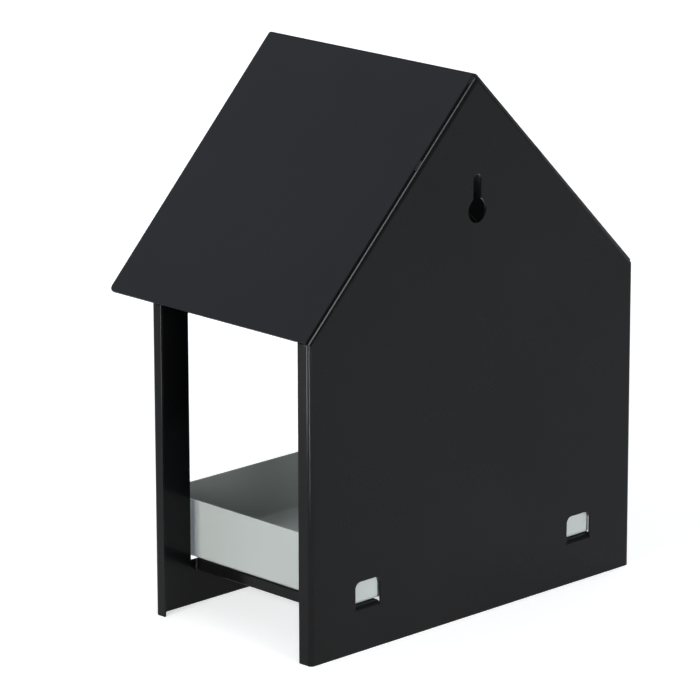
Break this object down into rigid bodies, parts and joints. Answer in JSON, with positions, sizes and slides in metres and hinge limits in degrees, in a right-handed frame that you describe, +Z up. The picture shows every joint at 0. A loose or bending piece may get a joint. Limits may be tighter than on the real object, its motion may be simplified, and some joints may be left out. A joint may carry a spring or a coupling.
{
  "type": "bird feeder house",
  "caption": "Wall-hung bird feeder house in folded sheet metal with a gable roof, open sides and a slide-out feed tray.",
  "frame": {"origin": "middle of the base, where the two panels' lower edges stand", "axes": "+Z up, +Y towards the wall it hangs on, -Y out of the open front, +X and -X out of the open sides"},
  "size_m": [0.2014, 0.129, 0.2426],
  "materials": {
    "black_paint": "satin black powder coat",
    "grey_paint": "matt light grey powder coat"
  },
  "bodies": {
    "house": {"back_panel": "black_paint", "front_panel": "black_paint", "roof": "black_paint", "rail_left": "black_paint", "rail_right": "black_paint", "roof_welds": "black_paint", "rail_welds": "black_paint"},
    "tray": {"tray": "grey_paint"}
  },
  "joints": [
    {"name": "tray_slide", "type": "slide", "parent": "house", "child": "tray", "axis": [0, -1, 0], "range_m": [0, 0.105]}
  ]
}
